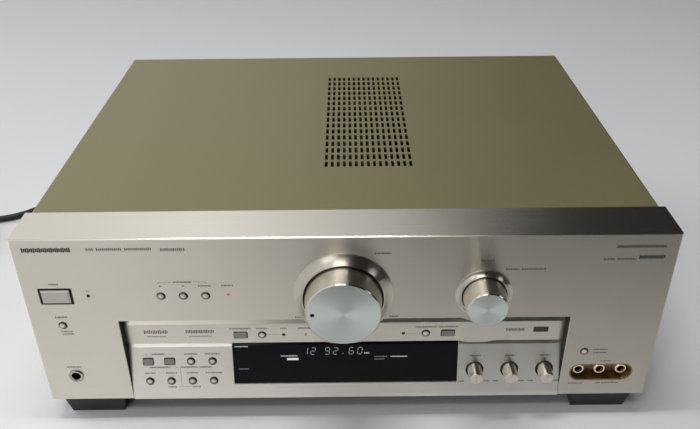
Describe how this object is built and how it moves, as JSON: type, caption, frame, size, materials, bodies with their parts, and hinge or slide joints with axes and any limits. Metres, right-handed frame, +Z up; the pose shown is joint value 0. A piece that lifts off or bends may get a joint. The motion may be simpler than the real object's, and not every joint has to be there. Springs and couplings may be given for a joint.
{
  "type": "stereo receiver",
  "caption": "Full-width stereo receiver: folded steel case with vents, aluminium fascia with a sloping control centre, turning knobs, sprung buttons, rear sockets and a mains lead.",
  "frame": {"origin": "on the surface that the feet stand on, under the middle of the case and its knobs", "axes": "+X to the right seen from the front, +Y from front to back, +Z up"},
  "size_m": [0.714, 0.4529, 0.158],
  "materials": {
    "fascia_aluminium": "brushed",
    "strip_aluminium": "brushed",
    "lower_aluminium": "brushed",
    "ring_aluminium": "spun",
    "knob_aluminium": "spun",
    "button_metal": "satin",
    "sink_aluminium": "anodised",
    "cover_paint": "satin",
    "black_steel": "satin",
    "zinc": "satin",
    "core_steel": "varnished",
    "screw_steel": "polished",
    "nickel": "polished",
    "gold": "polished",
    "dish_metal": "satin",
    "window_acrylic": "gloss",
    "display_glass": "gloss",
    "lamp_plastic": "gloss",
    "black_plastic": "matt",
    "foot_plastic": "matt",
    "board": "satin",
    "capacitor_sleeve": "gloss",
    "cap_red": "gloss",
    "cap_black": "gloss",
    "cord_rubber": "satin"
  },
  "bodies": {
    "chassis": {"front_panel": "fascia_aluminium", "control_strip": "strip_aluminium", "lower_fascia": "lower_aluminium", "display_window": "window_acrylic", "display_tube": "display_glass", "volume_ring": "ring_aluminium", "selector_ring": "ring_aluminium", "power_bezel": "black_plastic", "headphone_jack": "nickel", "jack_dish": "dish_metal", "front_jacks": "gold", "indicator_lamps": "lamp_plastic", "front_board": "board", "tact_switches": "black_plastic", "control_pots": "zinc", "front_frame": "black_plastic", "chassis_tray": "black_steel", "top_cover": "cover_paint", "feet": "foot_plastic", "rear_panel": "black_steel", "rear_jacks": "black_plastic", "speaker_terminals": "black_plastic", "tuner_module": "zinc", "main_board": "board", "heat_sink": "sink_aluminium", "power_transistors": "black_plastic", "power_transformer": "core_steel", "reservoir_capacitors": "capacitor_sleeve", "case_screws": "screw_steel", "cord_bush": "cord_rubber", "cord_run": "cord_rubber", "cord_coil": "cord_rubber", "mains_plug": "cord_rubber"},
    "volume_knob": {"volume_knob": "knob_aluminium"},
    "selector_knob": {"selector_knob": "knob_aluminium"},
    "bass_knob": {"bass_knob": "knob_aluminium"},
    "treble_knob": {"treble_knob": "knob_aluminium"},
    "balance_knob": {"balance_knob": "knob_aluminium"},
    "power_button": {"power_button": "button_metal"},
    "timer_button": {"timer_button": "button_metal"},
    "speaker_a_button": {"speaker_a_button": "button_metal"},
    "speaker_b_button": {"speaker_b_button": "button_metal"},
    "bi_wire_button": {"bi_wire_button": "button_metal"},
    "front_input_button": {"front_input_button": "button_metal"},
    "record_input_button": {"record_input_button": "button_metal"},
    "surround_button": {"surround_button": "button_metal"},
    "tape_monitor_button": {"tape_monitor_button": "button_metal"},
    "digital_input_button": {"digital_input_button": "button_metal"},
    "tuning_down_button": {"tuning_down_button": "button_metal"},
    "tuning_up_button": {"tuning_up_button": "button_metal"},
    "preset_button": {"preset_button": "button_metal"},
    "memory_button": {"memory_button": "button_metal"},
    "band_button": {"band_button": "button_metal"},
    "fm_mode_button": {"fm_mode_button": "button_metal"},
    "display_button": {"display_button": "button_metal"},
    "scan_button": {"scan_button": "button_metal"},
    "post_cap_1": {"post_cap_1": "cap_red"},
    "post_cap_2": {"post_cap_2": "cap_black"},
    "post_cap_3": {"post_cap_3": "cap_red"},
    "post_cap_4": {"post_cap_4": "cap_black"}
  },
  "joints": [
    {"name": "volume_turn", "type": "hinge", "parent": "chassis", "child": "volume_knob", "pos_m": [-0.002, -0.16175, 0.112], "axis": [0, 1, 0], "range_deg": [-60, 240]},
    {"name": "selector_turn", "type": "hinge", "parent": "chassis", "child": "selector_knob", "pos_m": [0.0915, -0.16175, 0.112], "axis": [0, 1, 0], "continuous": true},
    {"name": "bass_turn", "type": "hinge", "parent": "chassis", "child": "bass_knob", "pos_m": [0.0914, -0.16175, 0.0406], "axis": [0, 1, 0], "range_deg": [-140, 140]},
    {"name": "treble_turn", "type": "hinge", "parent": "chassis", "child": "treble_knob", "pos_m": [0.1163, -0.16175, 0.0406], "axis": [0, 1, 0], "range_deg": [-140, 140]},
    {"name": "balance_turn", "type": "hinge", "parent": "chassis", "child": "balance_knob", "pos_m": [0.1414, -0.16175, 0.0406], "axis": [0, 1, 0], "range_deg": [-140, 140]},
    {"name": "power_press", "type": "slide", "parent": "chassis", "child": "power_button", "axis": [0, 1, 0], "range_m": [0, 0.0025], "stiffness_N_per_m": 400, "springref_m": -0.001},
    {"name": "timer_press", "type": "slide", "parent": "chassis", "child": "timer_button", "axis": [0, 1, 0], "range_m": [0, 0.001], "stiffness_N_per_m": 300, "springref_m": -0.001},
    {"name": "speaker_a_press", "type": "slide", "parent": "chassis", "child": "speaker_a_button", "axis": [0, 1, 0], "range_m": [0, 0.001], "stiffness_N_per_m": 300, "springref_m": -0.001},
    {"name": "speaker_b_press", "type": "slide", "parent": "chassis", "child": "speaker_b_button", "axis": [0, 1, 0], "range_m": [0, 0.001], "stiffness_N_per_m": 300, "springref_m": -0.001},
    {"name": "bi_wire_press", "type": "slide", "parent": "chassis", "child": "bi_wire_button", "axis": [0, 1, 0], "range_m": [0, 0.001], "stiffness_N_per_m": 300, "springref_m": -0.001},
    {"name": "front_input_press", "type": "slide", "parent": "chassis", "child": "front_input_button", "axis": [0, 1, 0], "range_m": [0, 0.001], "stiffness_N_per_m": 300, "springref_m": -0.001},
    {"name": "record_input_press", "type": "slide", "parent": "chassis", "child": "record_input_button", "axis": [0, 1, 0], "range_m": [0, 0.001], "stiffness_N_per_m": 300, "springref_m": -0.001},
    {"name": "surround_press", "type": "slide", "parent": "chassis", "child": "surround_button", "axis": [0, 1, 0], "range_m": [0, 0.001], "stiffness_N_per_m": 300, "springref_m": -0.001},
    {"name": "tape_monitor_press", "type": "slide", "parent": "chassis", "child": "tape_monitor_button", "axis": [0, 1, 0], "range_m": [0, 0.001], "stiffness_N_per_m": 300, "springref_m": -0.001},
    {"name": "digital_input_press", "type": "slide", "parent": "chassis", "child": "digital_input_button", "axis": [0, 1, 0], "range_m": [0, 0.001], "stiffness_N_per_m": 300, "springref_m": -0.001},
    {"name": "tuning_down_press", "type": "slide", "parent": "chassis", "child": "tuning_down_button", "axis": [0, 1, 0], "range_m": [0, 0.001], "stiffness_N_per_m": 300, "springref_m": -0.001},
    {"name": "tuning_up_press", "type": "slide", "parent": "chassis", "child": "tuning_up_button", "axis": [0, 1, 0], "range_m": [0, 0.001], "stiffness_N_per_m": 300, "springref_m": -0.001},
    {"name": "preset_press", "type": "slide", "parent": "chassis", "child": "preset_button", "axis": [0, 1, 0], "range_m": [0, 0.001], "stiffness_N_per_m": 300, "springref_m": -0.001},
    {"name": "memory_press", "type": "slide", "parent": "chassis", "child": "memory_button", "axis": [0, 1, 0], "range_m": [0, 0.001], "stiffness_N_per_m": 300, "springref_m": -0.001},
    {"name": "band_press", "type": "slide", "parent": "chassis", "child": "band_button", "axis": [0, 1, 0], "range_m": [0, 0.001], "stiffness_N_per_m": 300, "springref_m": -0.001},
    {"name": "fm_mode_press", "type": "slide", "parent": "chassis", "child": "fm_mode_button", "axis": [0, 1, 0], "range_m": [0, 0.001], "stiffness_N_per_m": 300, "springref_m": -0.001},
    {"name": "display_press", "type": "slide", "parent": "chassis", "child": "display_button", "axis": [0, 1, 0], "range_m": [0, 0.001], "stiffness_N_per_m": 300, "springref_m": -0.001},
    {"name": "scan_press", "type": "slide", "parent": "chassis", "child": "scan_button", "axis": [0, 1, 0], "range_m": [0, 0.001], "stiffness_N_per_m": 300, "springref_m": -0.001},
    {"name": "post_cap_1_turn", "type": "hinge", "parent": "chassis", "child": "post_cap_1", "pos_m": [0.112, 0.16825, 0.104], "axis": [0, 1, 0], "range_deg": [0, 720]},
    {"name": "post_cap_2_turn", "type": "hinge", "parent": "chassis", "child": "post_cap_2", "pos_m": [0.131, 0.16825, 0.104], "axis": [0, 1, 0], "range_deg": [0, 720]},
    {"name": "post_cap_3_turn", "type": "hinge", "parent": "chassis", "child": "post_cap_3", "pos_m": [0.15, 0.16825, 0.104], "axis": [0, 1, 0], "range_deg": [0, 720]},
    {"name": "post_cap_4_turn", "type": "hinge", "parent": "chassis", "child": "post_cap_4", "pos_m": [0.169, 0.16825, 0.104], "axis": [0, 1, 0], "range_deg": [0, 720]}
  ]
}
